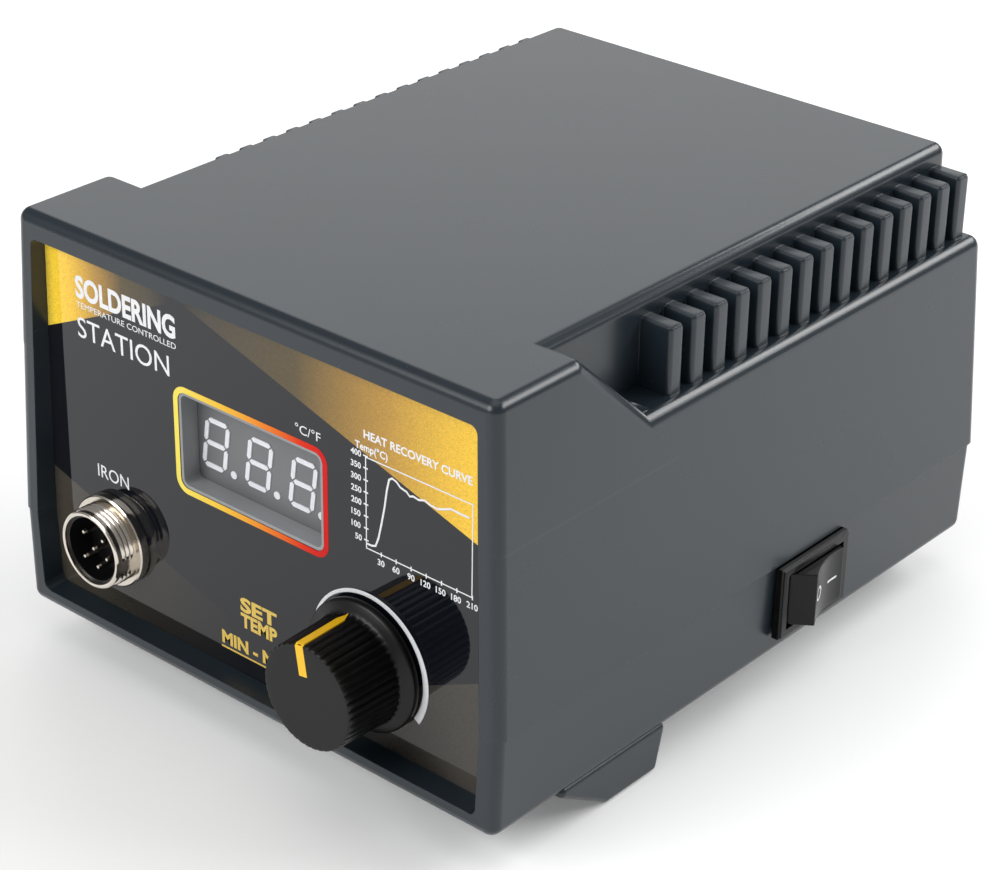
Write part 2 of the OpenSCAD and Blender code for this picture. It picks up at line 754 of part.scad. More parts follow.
module inlet_housing() color([0.05, 0.05, 0.05]) seat()
    facing_rear(inlet_x, inlet_seat_y, inlet_z) difference() {
        union() {
            linear_extrude(inlet_flange_t) rounded_rect(inlet_flange_w, inlet_flange_h, 3);
            translate([-inlet_body_w / 2, -inlet_body_h / 2, -inlet_depth])
                cube([inlet_body_w, inlet_body_h, inlet_depth + 1]);
        }
        // Well for the lead's plug, with two corners cut off
        translate([0, 0, -inlet_depth + 2]) linear_extrude(30) polygon([
            [-inlet_well_w / 2, -inlet_well_h / 2], [inlet_well_w / 2, -inlet_well_h / 2],
            [inlet_well_w / 2, inlet_well_h / 2 - 4], [inlet_well_w / 2 - 4, inlet_well_h / 2],
            [-inlet_well_w / 2 + 4, inlet_well_h / 2], [-inlet_well_w / 2, inlet_well_h / 2 - 4]]);
        for (i = [-1, 1]) translate([i * inlet_pitch / 2, 0, -1]) cylinder(r = 1.7, h = 5);
        for (p = [[-7, -1], [0, 3], [7, -1]]) translate([p[0] - 1.02, p[1] - 2.02, -inlet_depth - 1])
            cube([2.04, 4.04, 4]);
    }

module inlet_blades() color("silver") seat() facing_rear(inlet_x, inlet_seat_y, inlet_z)
    for (p = [[-7, -1], [0, 3], [7, -1]]) translate([p[0] - 1, p[1] - 2, -inlet_depth - 6]) {
        cube([2, 4, inlet_depth + 3]);
    }

module inlet_screws() color("silver") seat() facing_rear(inlet_x, inlet_seat_y, inlet_z)
    for (i = [-1, 1]) translate([i * inlet_pitch / 2, 0, inlet_flange_t + 1.6]) mirror([0, 0, 1])
        screw(2.8, 1.6, 1.5, 8);

module inlet_nuts() color("silver") seat() facing_rear(inlet_x, inlet_seat_y, inlet_z)
    for (i = [-1, 1]) translate([i * inlet_pitch / 2, 0, -5.5]) difference() {
        cylinder(r = 3.2, h = 2.4, $fn = 6);
        translate([0, 0, -1]) cylinder(r = 1.51, h = 5);
    }

// ---- Transformer ----

module transformer_core() color([0.3, 0.3, 0.32]) seat()
    translate([transformer_x, transformer_y, transformer_z]) difference() {
        translate([-core_w / 2, -core_t / 2, 0]) cube([core_w, core_t, core_h]);
        for (i = [-1, 1]) translate([i * core_w / 4 - core_w / 12, -core_t, core_w / 6 - 1])
            cube([core_w / 6, core_t * 2, core_h - core_w / 3 + 2]);
    }

module transformer_coil() color([0.75, 0.6, 0.15]) seat()
    translate([transformer_x, transformer_y, transformer_z + core_h / 2]) difference() {
        w = core_w / 3 + 2 * core_w / 6 - 0.6;
        h = core_h - core_w / 3 + 1.4;
        linear_extrude(h, center = true) rounded_rect(w, core_t + 19, 5);
        cube([core_w / 3 + 0.2, core_t + 0.2, core_h], center = true);
    }

module transformer_strap() color([0.75, 0.75, 0.72]) seat()
    translate([transformer_x, transformer_y - strap_w / 2, transformer_z - strap_t]) difference() {
        w = core_w / 2 + 0.05;
        union() {
            for (i = [-1, 1]) {
                translate([i * (w + strap_t / 2) - strap_t / 2, 0, 0])
                    cube([strap_t, strap_w, core_h + 2 * strap_t + 0.05]);
                translate([i * (w + 5.5) - 5.5, 0, 0]) cube([11, strap_w, strap_t]);
            }
            translate([-w - strap_t, 0, core_h + strap_t + 0.05]) cube([2 * (w + strap_t), strap_w, strap_t]);
        }
        for (i = [-1, 1]) translate([i * strap_pitch / 2, strap_w / 2, -1]) cylinder(r = 1.8, h = 4);
    }

module transformer_screws() color("silver") seat() for (i = [-1, 1])
    translate([transformer_x + i * strap_pitch / 2, transformer_y, transformer_z + 2]) mirror([0, 0, 1])
        screw(2.9, 2, 1.5, 5);

// ---- Control board ----

module control_board() color([0.05, 0.3, 0.12]) seat() difference() {
    translate([-board_x, board_y[0], board_z]) cube([2 * board_x, board_y[1] - board_y[0], board_t]);
    for (i = [-1, 1], y = board_screw_ys) translate([i * board_screw_x, y, board_z - 1])
        cylinder(r = 1.6, h = 4);
}

module board_screws() color("silver") seat() for (i = [-1, 1], y = board_screw_ys)
    translate([i * board_screw_x, y, board_z + board_t + 1.5]) mirror([0, 0, 1])
        screw(2.6, 1.5, 1.25, 6);

module heat_sink() color([0.6, 0.6, 0.62]) seat() translate([-6, 50, board_top]) difference() {
    cube([24, 8, 24]);
    for (i = [0 : 3]) translate([3 + i * 5, 3, -1]) cube([3, 6, 26]);
    translate([12, -1, 18]) rotate([-90, 0, 0]) cylinder(r = 1.3, h = 5);
}

module triac() color([0.06, 0.06, 0.06]) seat() translate([1, 45.4, board_top + 5]) difference() {
    union() {
        cube([10, 4.5, 9]);
        translate([0, 3.2, 9]) cube([10, 1.3, 6.5]);
        for (i = [-1, 0, 1]) translate([5 + i * 2.54 - 0.4, 2, -5]) cube([0.8, 0.6, 5]);
    }
    translate([5, 0, 13]) rotate([-90, 0, 0]) cylinder(r = 1.6, h = 6);
}

module triac_screw() color("silver") seat() translate([6, 48.6 - 1.5, board_top + 18])
    rotate([-90, 0, 0]) screw(2.5, 1.5, 1.25, 5);

module capacitors() color([0.1, 0.12, 0.3]) seat()
    for (p = [[-28.5, 49.5, 6, 20], [-30, 30, 4, 8], [14, 26, 3, 11]])
        translate([p[0], p[1], board_top]) cylinder(r = p[2], h = p[3]);

module control_chip() color([0.07, 0.07, 0.07]) seat() translate([-10, 30, board_top]) {
    translate([0, 0, 1]) cube([24, 6.4, 3.3]);
    for (i = [0 : 8], y = [-0.3, 6.2]) translate([1.5 + i * 2.54, y, 0]) cube([0.5, 0.5, 2]);
}

module terminal_blocks() color([0.1, 0.35, 0.2]) seat() for (x = [-20, 22])
    translate([x, 38, board_top]) difference() {
        cube([10, 8, 10]);
        for (i = [0, 1]) translate([2.5 + i * 5, 4, 5]) cylinder(r = 1.6, h = 6);
    }

module fuse_clips() color([0.8, 0.7, 0.4]) seat() for (y = [25, 41])
    translate([34, y, board_top]) difference() {
        cube([6.4, 4, 7]);
        translate([3.2, -1, 4.4]) rotate([-90, 0, 0]) cylinder(r = 2.62, h = 6);
        translate([1.6, -1, 4.4]) cube([3.2, 6, 4]);
    }

module fuse() color([0.8, 0.85, 0.85]) seat() translate([37.2, 25, board_top + 4.4])
    rotate([-90, 0, 0]) cylinder(r = 2.6, h = 20);

// ---- Leads ----

// A point on the smooth curve through a list of points
function curve(p, i, t) = let (
    a = p[max(i - 1, 0)], b = p[i], c = p[i + 1], d = p[min(i + 2, len(p) - 1)])
    0.5 * (2 * b + (c - a) * t + (2 * a - 5 * b + 4 * c - d) * t * t
        + (3 * b - a - 3 * c + d) * t * t * t);
function path(p, n) = concat(
    [for (i = [0 : len(p) - 2], k = [0 : n - 1]) curve(p, i, k / n)], [p[len(p) - 1]]);
function unit(v) = v / norm(v);

// A lead of radius r along a route: rings of eight points, joined into one tube
module lead(route, r) {
    sides = 8;
    q = path(route, 4);
    n = len(q);
    along = [for (i = [0 : n - 1]) unit(q[min(i + 1, n - 1)] - q[max(i - 1, 0)])];
    points = [for (i = [0 : n - 1]) let (
        t = along[i],
        u = unit(cross(t, abs(t[2]) > 0.9 ? [1, 0, 0] : [0, 0, 1])),
        v = cross(t, u))
        for (k = [0 : sides - 1]) q[i] + r * (cos(k * 360 / sides) * u + sin(k * 360 / sides) * v)];
    faces = concat(
        [[for (k = [0 : sides - 1]) k]],
        [for (i = [0 : n - 2], k = [0 : sides - 1])
            [i * sides + k, (i + 1) * sides + k, (i + 1) * sides + (k + 1) % sides, i * sides + (k + 1) % sides]],
        [[for (k = [sides - 1 : -1 : 0]) (n - 1) * sides + k]]);
    polyhedron(points, faces, convexity = 10);
}

module mains_leads() color([0.35, 0.2, 0.1]) seat() {
    lead([[35, 117.6, 49], [36, 112, 46], [34, 104, 34], [33, 96, 24], [35.2, 91.5, 20.4]], 1);
    lead([[35.2, 83.5, 20.4], [30, 80, 21], [27, 72, 26], [27.5, 60, 34], [29.5, 48, 30.5]], 1);
}

module socket_leads() color([0.6, 0.1, 0.1]) seat() {
    lead([[-38.3, 21, 27.6], [-38, 26, 28], [-34, 34, 32], [-24, 41, 32], [-17.5, 42, 29.2]], 0.8);
    lead([[-34.6, 21, 26.7], [-32, 26, 30], [-24, 34, 34], [-16, 40, 33], [-12.5, 42, 29.2]], 0.8);
}

upper_case();
lower_case();
case_screws();
rear_feet();
foot_screws();
front_panel();
panel_film();
display_bezel();
display_block();
display_digits();
display_board();
display_pins();
iron_socket_shell();
iron_socket_insert();
iron_socket_pins();
iron_socket_washer();
iron_socket_nut();
knob_body();
knob_pointer();
knob_screw();
pot_shaft();
pot_body();
pot_washer();
pot_nut();
pot_lugs();
switch_housing();
switch_rocker();
switch_terminals();
inlet_housing();
inlet_blades();
inlet_screws();
inlet_nuts();
transformer_core();
transformer_coil();
transformer_strap();
transformer_screws();
control_board();
board_screws();
heat_sink();
triac();
triac_screw();
capacitors();
control_chip();
terminal_blocks();
fuse_clips();
fuse();
mains_leads();
socket_leads();
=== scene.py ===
"""A bench soldering station: finned plastic case, printed front panel, iron socket,
display, temperature knob and side switch. Metres; -Y is the front, +X the switch side."""
import math

import bmesh
import bpy
from mathutils import Matrix, Vector
from mathutils.bvhtree import BVHTree


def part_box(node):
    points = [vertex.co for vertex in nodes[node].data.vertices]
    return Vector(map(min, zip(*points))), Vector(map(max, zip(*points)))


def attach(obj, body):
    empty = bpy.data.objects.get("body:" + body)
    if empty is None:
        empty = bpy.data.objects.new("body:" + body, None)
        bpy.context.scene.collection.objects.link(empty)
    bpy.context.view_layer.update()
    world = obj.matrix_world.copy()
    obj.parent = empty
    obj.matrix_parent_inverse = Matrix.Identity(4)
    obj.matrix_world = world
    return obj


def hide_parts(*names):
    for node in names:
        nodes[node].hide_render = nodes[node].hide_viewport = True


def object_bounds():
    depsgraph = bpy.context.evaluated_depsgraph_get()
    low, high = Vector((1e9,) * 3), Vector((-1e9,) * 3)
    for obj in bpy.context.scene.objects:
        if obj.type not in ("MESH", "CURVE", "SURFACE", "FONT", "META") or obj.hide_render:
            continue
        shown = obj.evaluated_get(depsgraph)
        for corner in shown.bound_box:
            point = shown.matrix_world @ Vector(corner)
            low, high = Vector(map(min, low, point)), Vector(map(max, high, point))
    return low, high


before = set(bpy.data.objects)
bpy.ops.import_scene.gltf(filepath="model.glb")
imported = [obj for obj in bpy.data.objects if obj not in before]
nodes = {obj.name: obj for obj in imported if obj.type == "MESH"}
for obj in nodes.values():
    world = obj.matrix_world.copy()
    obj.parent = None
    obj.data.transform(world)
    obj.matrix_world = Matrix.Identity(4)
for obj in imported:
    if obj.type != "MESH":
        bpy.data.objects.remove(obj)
cad_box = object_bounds()
MM = 0.001
INK = 0.03 * MM  # thickness of printed ink
ALONG_Z_TO_FRONT = Matrix.Rotation(math.radians(90), 4, "X")


# ---- Camera ----

CAMERA_AZIMUTH = math.radians(40.64)
CAMERA_HEIGHT_ANGLE = math.radians(28.14)
CAMERA_ROLL = math.radians(0.9)
CAMERA_DISTANCE = 0.52246
CAMERA_TARGET = Vector((-0.00156, 0, 0.03847))
CAMERA_LENS = 98.4


def place_in_scene(name, data):
    thing = bpy.data.objects.new(name, data)
    bpy.context.scene.collection.objects.link(thing)
    return thing


def add_camera():
    level = math.cos(CAMERA_HEIGHT_ANGLE)
    forward = Vector((-math.sin(CAMERA_AZIMUTH) * level, math.cos(CAMERA_AZIMUTH) * level,
                      -math.sin(CAMERA_HEIGHT_ANGLE)))
    right = Vector((math.cos(CAMERA_AZIMUTH), math.sin(CAMERA_AZIMUTH), 0))
    up = right.cross(forward)
    tilted_right = right * math.cos(CAMERA_ROLL) + up * math.sin(CAMERA_ROLL)
    tilted_up = tilted_right.cross(forward)
    data = bpy.data.cameras.new("camera")
    data.lens = CAMERA_LENS
    data.sensor_width = 36
    data.clip_start = 0.01
    camera = place_in_scene("camera", data)
    turn = Matrix((tilted_right, tilted_up, -forward)).transposed().to_4x4()
    camera.matrix_world = Matrix.Translation(CAMERA_TARGET - forward * CAMERA_DISTANCE) @ turn
    bpy.context.scene.camera = camera


add_camera()


# ---- Places, all from the frame ----

def middle(node):
    low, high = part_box(node)
    return (low + high) / 2


case_low, case_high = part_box("upper_case")
case_mid_x = (case_low.x + case_high.x) / 2
film_front_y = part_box("panel_film")[0].y
socket = middle("iron_socket_shell")
knob_axis = middle("knob_body")
window = middle("display_bezel")


# ---- Building materials ----

class Finish:
    """A material with a Principled shader, and short ways to add nodes to it."""

    def __init__(self, name, colour, roughness, metallic=0.0, ior=1.5):
        self.material = bpy.data.materials.new(name)
        self.material.use_nodes = True
        self.tree = self.material.node_tree
        self.shader = self.tree.nodes["Principled BSDF"]
        self.shader.inputs["Base Color"].default_value = (*colour, 1)
        self.shader.inputs["Roughness"].default_value = roughness
        self.shader.inputs["Metallic"].default_value = metallic
        self.shader.inputs["IOR"].default_value = ior
        self.place = self.add("TexCoord").outputs["Object"]

    def add(self, kind):
        return self.tree.nodes.new("ShaderNode" + kind)

    def link(self, source, target):
        self.tree.links.new(source, target)

    def feed(self, socket, source):
        """Links a socket to `source`, or sets it where `source` is a plain number or colour."""
        if hasattr(source, "is_linked"):
            self.link(source, socket)
        else:
            socket.default_value = source

    def math(self, operation, a, b=0.0, c=0.0, clamp=False):
        node = self.add("Math")
        node.operation = operation
        node.use_clamp = clamp
        for socket, number in zip(node.inputs, (a, b, c)):
            self.feed(socket, number)
        return node.outputs[0]

    def axes(self):
        split = self.add("SeparateXYZ")
        self.link(self.place, split.inputs[0])
        return split.outputs

    def noise(self, size, detail=3.0, rough=0.5, stretch=(1, 1, 1)):
        """Noise whose features are about `size` metres across."""
        mapping = self.add("Mapping")
        mapping.inputs["Scale"].default_value = stretch
        self.link(self.place, mapping.inputs["Vector"])
        node = self.add("TexNoise")
        node.inputs["Scale"].default_value = 1 / size
        node.inputs["Detail"].default_value = detail
        node.inputs["Roughness"].default_value = rough
        self.link(mapping.outputs[0], node.inputs["Vector"])
        return node.outputs["Fac"]

    def spread(self, source, low, high, out_low, out_high):
        """Carries low to out_low and high to out_high, and holds the value between them."""
        node = self.add("MapRange")
        for name, number in (("From Min", low), ("From Max", high),
                             ("To Min", out_low), ("To Max", out_high)):
            node.inputs[name].default_value = number
        self.link(source, node.inputs["Value"])
        return node.outputs[0]

    def blend(self, amount, first, second):
        """The first colour where amount is 0, and the second where it is 1."""
        node = self.add("Mix")
        node.data_type = "RGBA"
        self.feed(node.inputs[0], amount)
        for socket, colour in ((node.inputs[6], first), (node.inputs[7], second)):
            self.feed(socket, colour if hasattr(colour, "is_linked") else (*colour, 1))
        return node.outputs[2]

    def scale(self, colour, amount):
        """A colour made lighter or darker by a varying amount."""
        node = self.add("VectorMath")
        node.operation = "SCALE"
        self.feed(node.inputs[0], colour)
        self.link(amount, node.inputs["Scale"])
        return node.outputs[0]

    def ramp(self, source, stops):
        """A colour that follows (place, colour) stops as the source goes from 0 to 1."""
        node = self.add("ValToRGB")
        elements = node.color_ramp.elements
        while len(elements) < len(stops):
            elements.new(0.5)
        for element, (place, colour) in zip(elements, stops):
            element.position = place
            element.color = (*colour, 1)
        self.link(source, node.inputs[0])
        return node.outputs[0]

    def colour(self, source):
        self.link(source, self.shader.inputs["Base Color"])

    def roughness(self, source):
        self.link(source, self.shader.inputs["Roughness"])

    def glow(self, colour, strength):
        self.shader.inputs["Emission Color"].default_value = (*colour, 1)
        self.shader.inputs["Emission Strength"].default_value = strength

    def relief(self, source, depth, soft_edge=0.0):
        """Bump of `depth` metres, over edges rounded by `soft_edge` metres."""
        bump = self.add("Bump")
        bump.inputs["Strength"].default_value = 1
        bump.inputs["Distance"].default_value = depth
        self.link(source, bump.inputs["Height"])
        if soft_edge:
            bevel = self.add("Bevel")
            bevel.samples = 4
            bevel.inputs["Radius"].default_value = soft_edge
            self.link(bevel.outputs[0], bump.inputs["Normal"])
        self.link(bump.outputs[0], self.shader.inputs["Normal"])


def moulded(name, colour, roughness, grain=0.25 * MM, depth=0.012 * MM, soft_edge=0.0,
            vary=0.12, ior=1.5, gloss=0.04):
    """Moulded plastic: a fine spark-eroded grain, and a slow change of tone and gloss."""
    finish = Finish(name, colour, roughness, ior=ior)
    tone = finish.spread(finish.noise(30 * MM, 2), 0.3, 0.7, 1 - vary, 1 + vary)
    finish.colour(finish.scale(colour, tone))
    patches = finish.noise(9 * MM, 4, 0.6)
    finish.roughness(finish.spread(patches, 0.25, 0.75, roughness - gloss, roughness + gloss))
    finish.relief(finish.noise(grain, 4, 0.6), depth, soft_edge)
    return finish.material


def plated(name, colour, roughness):
    """Plated or bare metal, with fine scratches and dull patches."""
    finish = Finish(name, colour, roughness, 1.0)
    patches = finish.noise(3 * MM, 5, 0.65)
    finish.roughness(finish.spread(patches, 0.3, 0.7, roughness * 0.6, roughness * 1.5))
    finish.colour(finish.blend(finish.spread(patches, 0.45, 0.7, 0, 0.5), colour,
                               tuple(c * 0.72 for c in colour)))
    finish.relief(finish.noise(0.12 * MM, 3, 0.6, (1, 6, 1)), 0.003 * MM)
    return finish.material


# ---- The printed film ----

# the left wedge's pale print gold, painted brighter still as painted light to offset the shade the
# case's left rim casts on it
GOLD_WITH_PAINTED_LIGHT = (1.0, 0.72, 0.07)
GOLD_BRIGHT = (0.92, 0.56, 0.025)
GOLD = (0.46, 0.25, 0.03)
OLIVE = (0.09, 0.062, 0.02)
BRONZE = (0.05, 0.038, 0.022)
FILM_BLACK = (0.004, 0.005, 0.008)
PRINT_SHARPNESS = 12  # how fast a printed edge turns, per mm


def film_finish():
    """Glossy black film with gold wedges that fade along their length, and a fine print grain.

    Places on it are in mm: x from the case's middle, z above the bench.
    """
    finish = Finish("printed_film", FILM_BLACK, 0.035)
    x, _, z = finish.axes()
    x = finish.math("MULTIPLY_ADD", x, 1 / MM, -case_mid_x / MM)
    z = finish.math("MULTIPLY", z, 1 / MM)

    def above(x0, z0, slope, side=1):
        """1 above the line through (x0, z0) with this slope, or below it where side is -1."""
        height = finish.math("MULTIPLY_ADD", x, -slope, -(z0 - slope * x0))
        return finish.math("MULTIPLY_ADD", finish.math("ADD", z, height), PRINT_SHARPNESS * side, 0.5,
                           clamp=True)

    def fade(start, end):
        return finish.spread(x, start, end, 0, 1)

    right_wedge = finish.ramp(fade(-19, 50), (
        (0.0, FILM_BLACK), (0.12, BRONZE), (0.42, OLIVE), (0.72, GOLD), (1.0, GOLD_BRIGHT)))
    # the left wedge starts in pale print gold that is painted brighter to cancel the left rim's shade
    left_wedge = finish.ramp(fade(-54, -21), (
        (0.0, GOLD_WITH_PAINTED_LIGHT), (0.2, GOLD_BRIGHT), (0.42, GOLD), (0.64, OLIVE), (0.86, BRONZE),
        (1.0, FILM_BLACK)))
    low_left = finish.ramp(fade(-54, -4), (
        (0.0, (0.06, 0.052, 0.04)), (0.5, (0.02, 0.018, 0.015)), (1.0, FILM_BLACK)))
    low_right = finish.ramp(fade(14, 54), ((0.0, FILM_BLACK), (1.0, (0.05, 0.043, 0.034))))
    print_colour = finish.blend(above(-13.3, 81.0, -0.306), FILM_BLACK, right_wedge)
    left_half = finish.math("LESS_THAN", x, -18.5)
    print_colour = finish.blend(finish.math("MULTIPLY", above(-54.3, 66.1, 0.453), left_half),
                                print_colour, left_wedge)
    print_colour = finish.blend(above(-53.2, 36.6, -0.308, -1), print_colour, low_left)
    print_colour = finish.blend(above(52.4, 35.4, 0.47, -1), print_colour, low_right)
    speckle = finish.spread(finish.noise(0.16 * MM, 1, 0.4), 0.3, 0.7, 0.78, 1.22)
    finish.colour(finish.scale(print_colour, speckle))
    finish.roughness(finish.spread(finish.noise(14 * MM, 4, 0.6), 0.3, 0.8, 0.02, 0.06))
    finish.relief(finish.noise(25 * MM, 2, 0.4), 0.03 * MM)
    return finish.material


def border_finish():
    """The window's outline: yellow at the left, orange, then red at the right."""
    finish = Finish("window_outline", (0.8, 0.4, 0.1), 0.3, ior=1.2)
    x, _, _ = finish.axes()
    length = 36 * MM
    along = finish.math("MULTIPLY_ADD", x, 1 / length, 0.5 - window.x / length)
    finish.colour(finish.ramp(along, (
        (0.0, (0.87, 0.72, 0.12)), (0.3, (0.86, 0.52, 0.05)), (0.6, (0.8, 0.22, 0.02)),
        (0.85, (0.7, 0.03, 0.008)), (1.0, (0.6, 0.012, 0.01)))))
    finish.relief(finish.noise(0.2 * MM, 2), 0.002 * MM)
    return finish.material


def ink_finish(name, colour):
    """Screen-printed ink: nearly even, slightly thin in places."""
    finish = Finish(name, colour, 0.42)
    finish.colour(finish.blend(finish.spread(finish.noise(0.5 * MM, 4, 0.6), 0.4, 0.75, 0, 0.35),
                               colour, tuple(c * 0.8 for c in colour)))
    finish.relief(finish.noise(0.15 * MM, 2), 0.003 * MM)
    return finish.material


def segment_finish():
    """Milky light-guide segments, unlit, with a faint painted glow that stands in for the room's light
    falling on them.
    """
    finish = Finish("segment_white", (0.8, 0.81, 0.84), 0.35)
    finish.colour(finish.blend(finish.noise(0.8 * MM, 3), (0.78, 0.79, 0.82), (0.6, 0.61, 0.65)))
    # painted glow: the unlit segments are made to shine a little in place of the room's light
    finish.glow((0.9, 0.93, 1), 0.08)
    finish.relief(finish.noise(0.3 * MM, 3), 0.004 * MM)
    return finish.material


def laminated_finish():
    """Stacked transformer sheets, with a line for every sheet."""
    finish = Finish("lamination", (0.2, 0.2, 0.22), 0.4, 0.9)
    _, y, _ = finish.axes()
    sheet = 0.5 * MM
    lines = finish.math("SINE", finish.math("MULTIPLY", y, 2 * math.pi / sheet))
    finish.colour(finish.blend(finish.spread(lines, -1, 1, 0, 0.6),
                               (0.24, 0.24, 0.26), (0.08, 0.08, 0.09)))
    finish.relief(lines, 0.05 * MM)
    return finish.material


def board_finish():
    """Green solder mask with mottled copper below it."""
    finish = Finish("solder_mask", (0.02, 0.15, 0.05), 0.3)
    finish.colour(finish.blend(finish.spread(finish.noise(4 * MM, 5, 0.7), 0.42, 0.58, 0, 1),
                               (0.015, 0.13, 0.045), (0.03, 0.22, 0.07)))
    finish.relief(finish.noise(2 * MM, 3), 0.02 * MM)
    return finish.material


def glass_finish():
    """The fuse's clear tube."""
    finish = Finish("fuse_glass", (0.9, 0.94, 0.94), 0.05)
    finish.shader.inputs["Transmission Weight"].default_value = 0.9
    finish.relief(finish.noise(2 * MM, 2), 0.01 * MM)
    return finish.material


case_texture = {"grain": 0.5 * MM, "depth": 0.0012 * MM, "soft_edge": 0.25 * MM, "vary": 0.04,
                "gloss": 0.006}
case_top = moulded("case_grey", (0.0145, 0.0225, 0.0295), 0.27, **case_texture)
case_base = moulded("case_base_grey", (0.013, 0.0205, 0.0275), 0.29, **case_texture)
film = film_finish()
outline_print = border_finish()
white_ink = ink_finish("white_ink", (0.82, 0.83, 0.85))
gold_ink = ink_finish("gold_ink", (0.72, 0.5, 0.09))
panel_black = moulded("panel_black", (0.012, 0.012, 0.013), 0.45)
window_grey = moulded("window_grey", (0.28, 0.29, 0.3), 0.4, 0.2 * MM, 0.004 * MM)
display_grey = moulded("display_grey", (0.15, 0.155, 0.162), 0.33, 0.15 * MM, 0.003 * MM)
segments = segment_finish()
knob_black = moulded("knob_black", (0.002, 0.002, 0.0022), 0.34, 0.18 * MM, 0.006 * MM, ior=1.36)
switch_black = moulded("switch_black", (0.001, 0.001, 0.0012), 0.25, 0.2 * MM, 0.004 * MM, ior=1.36)
insert_black = moulded("insert_black", (0.003, 0.003, 0.0033), 0.4, 0.2 * MM, 0.01 * MM, ior=1.4)
pointer_yellow = moulded("pointer_yellow", (0.9, 0.52, 0.008), 0.34, 0.2 * MM, 0.004 * MM, vary=0.04)
nickel = plated("nickel_plate", (0.78, 0.72, 0.64), 0.16)
zinc = plated("zinc_plate", (0.62, 0.62, 0.63), 0.3)
tinned = plated("tinned_brass", (0.76, 0.7, 0.5), 0.25)
alloy = plated("extruded_alloy", (0.62, 0.62, 0.64), 0.35)
foot_rubber = moulded("foot_rubber", (0.018, 0.018, 0.019), 0.72, 0.35 * MM, 0.03 * MM)
coil_tape = moulded("coil_tape", (0.6, 0.42, 0.06), 0.35, 1.2 * MM, 0.02 * MM)
chip_black = moulded("chip_black", (0.02, 0.02, 0.02), 0.5)
sleeve_blue = moulded("sleeve_blue", (0.03, 0.04, 0.13), 0.28)
terminal_green = moulded("terminal_green", (0.03, 0.2, 0.08), 0.42)
lead_brown = moulded("lead_brown", (0.12, 0.05, 0.02), 0.35)
lead_red = moulded("lead_red", (0.35, 0.02, 0.015), 0.35)

NODE_FINISHES = {
    "panel_film": film, "front_panel": panel_black, "display_block": display_grey,
    "display_digits": segments, "display_board": board_finish(), "display_pins": zinc,
    "iron_socket_insert": insert_black, "iron_socket_washer": zinc, "iron_socket_nut": nickel,
    "knob_screw": zinc, "pot_shaft": zinc, "pot_body": zinc, "pot_washer": zinc,
    "pot_nut": zinc, "pot_lugs": zinc, "switch_terminals": tinned,
    "inlet_blades": tinned, "inlet_nuts": zinc, "case_screws": zinc, "foot_screws": zinc,
    "transformer_core": laminated_finish(), "transformer_coil": coil_tape,
    "transformer_strap": zinc, "transformer_screws": zinc,
    "control_board": board_finish(), "board_screws": zinc, "heat_sink": alloy,
    "triac": chip_black, "triac_screw": zinc, "capacitors": sleeve_blue,
    "control_chip": chip_black, "terminal_blocks": terminal_green,
    "fuse_clips": tinned, "fuse": glass_finish(),
    "mains_leads": lead_brown, "socket_leads": lead_red,
}


def dress(piece, material):
    piece.data.materials.clear()
    piece.data.materials.append(material)


for node_name, node_finish in NODE_FINISHES.items():
    dress(nodes[node_name], node_finish)


# ---- Building pieces ----

ROUND_ANGLE = 40  # degrees: edges of turned pieces that are sharper than this stay sharp
CASE_ANGLE = 20  # the same on the case, whose small edges are already rounded


def add_piece(name, mesh, material, body="station", stands_for=()):
    """A finished piece: an object at the origin, with its place in its mesh."""
    piece = place_in_scene(name, mesh)
    dress(piece, material)
    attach(piece, body)
    if stands_for:
        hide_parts(*stands_for)
    return piece


def to_mesh(bm, name):
    mesh = bpy.data.meshes.new(name)
    bm.to_mesh(mesh)
    bm.free()
    return mesh


def outward_mesh(bm, name):
    bmesh.ops.recalc_face_normals(bm, faces=bm.faces)
    return to_mesh(bm, name)


def join_mesh(bm, mesh):
    bm.from_mesh(mesh)
    bpy.data.meshes.remove(mesh)


def join_shape(bm, other):
    join_mesh(bm, to_mesh(other, "part"))


def baked(curve):
    """A text or curve as a mesh."""
    thing = place_in_scene("curve", curve)
    bpy.context.view_layer.update()
    mesh = bpy.data.meshes.new_from_object(thing)
    bpy.data.objects.remove(thing)
    return mesh


def new_verts(geom):
    return [g for g in geom if isinstance(g, bmesh.types.BMVert)]


def edges_between(geom, verts):
    """The edges in `geom` that join two of `verts`."""
    ends = set(verts)
    return [g for g in geom if isinstance(g, bmesh.types.BMEdge) and all(v in ends for v in g.verts)]


def thicken(bm, depth):
    """Raises a flat print by `depth` metres along Z."""
    made = bmesh.ops.extrude_face_region(bm, geom=bm.faces[:])["geom"]
    bmesh.ops.translate(bm, verts=new_verts(made), vec=(0, 0, depth))


def smooth(mesh, angle):
    mesh.shade_smooth()
    mesh.set_sharp_from_angle(angle=math.radians(angle))


def softened(node, name, material, body="station", edge=0.0, angle=30):
    """A CAD node's own shape, joined up and smooth, with its sharp edges rounded by `edge` metres."""
    bm = bmesh.new()
    bm.from_mesh(nodes[node].data)
    bmesh.ops.remove_doubles(bm, verts=bm.verts, dist=0.001 * MM)
    bmesh.ops.dissolve_limit(bm, angle_limit=math.radians(0.5), verts=bm.verts, edges=bm.edges)
    mesh = to_mesh(bm, name)
    smooth(mesh, angle)
    piece = add_piece(name, mesh, material, body, (node,))
    if edge:
        bevel = piece.modifiers.new("rounded edges", "BEVEL")
        bevel.width = edge
        bevel.segments = 2
        bevel.limit_method = "ANGLE"
        bevel.angle_limit = math.radians(angle)
        bevel.harden_normals = True
    else:
        flatter = piece.modifiers.new("flat faces stay flat", "WEIGHTED_NORMAL")
        flatter.keep_sharp = True
    return piece


